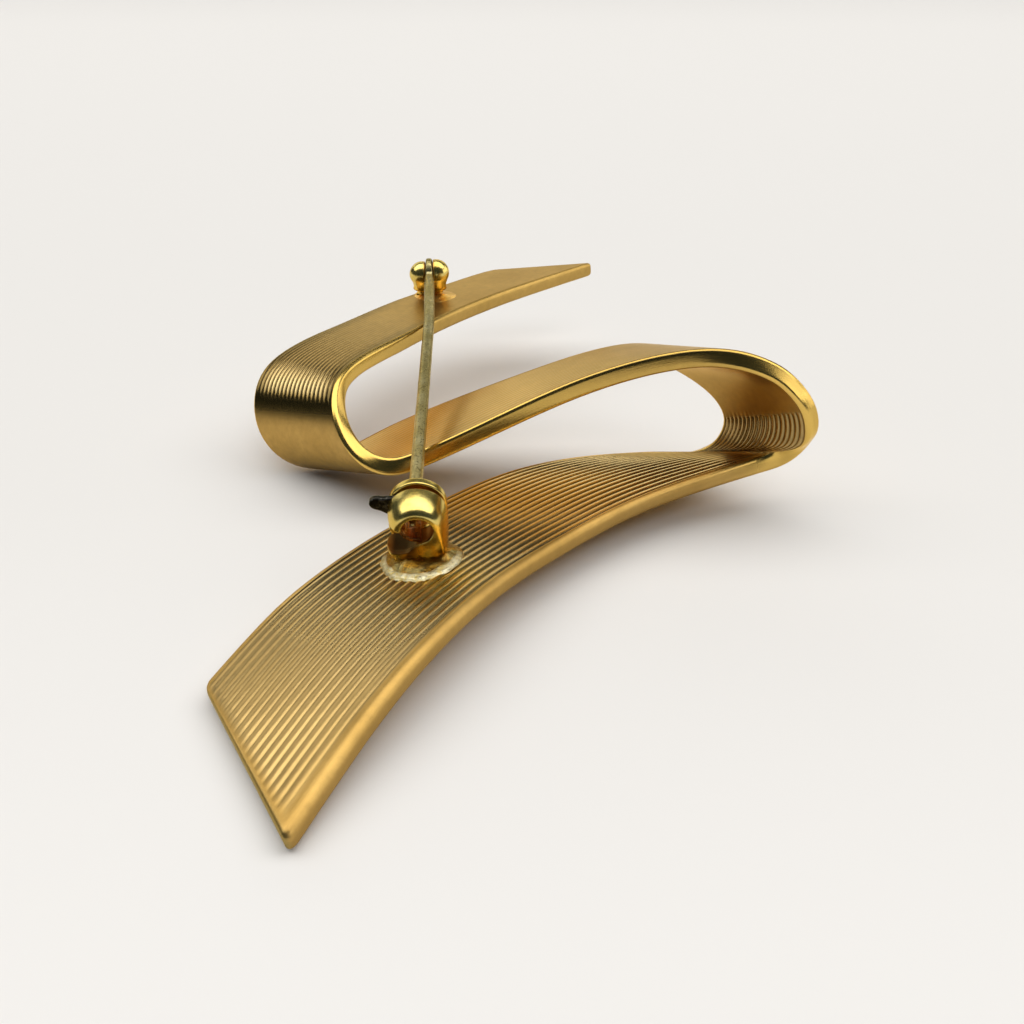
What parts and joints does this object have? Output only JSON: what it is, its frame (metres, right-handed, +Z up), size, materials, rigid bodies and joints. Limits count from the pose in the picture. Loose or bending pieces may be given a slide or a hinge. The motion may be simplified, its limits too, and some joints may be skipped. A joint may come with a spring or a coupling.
{
  "type": "ribbon brooch",
  "caption": "Brooch bent from one flat ribbed metal ribbon into an open, folded S, with a hinged pin across its back that locks in a catch with a turning sleeve.",
  "frame": {"origin": "middle of the part's box, on the table that it lies on", "axes": "+Y from the wide tail to the narrow tail, +X from the left loop to the right loop, +Z up, off the table; the pinned back is up"},
  "size_m": [0.0374, 0.0588, 0.0118],
  "materials": {
    "ribbon_gold": "satin gilt with ribbed lines and bright edges",
    "pin_wire": "drawn wire, tarnished",
    "catch_metal": "polished, tarnished"
  },
  "bodies": {
    "brooch": {"ribbon": "ribbon_gold"},
    "pin": {"pin_stem": "pin_wire"},
    "lock": {"catch_sleeve": "catch_metal"}
  },
  "joints": [
    {"name": "pin_hinge", "type": "hinge", "parent": "brooch", "child": "pin", "pos_m": [-0.00712, 0.02178, 0.00944], "axis": [-0.999, -0.0437, 0], "range_deg": [0, 95]},
    {"name": "catch_turn", "type": "hinge", "parent": "brooch", "child": "lock", "pos_m": [-0.00574, -0.00961, 0.00478], "axis": [-0.0432, 0.9882, 0.1469], "range_deg": [0, 100]}
  ]
}
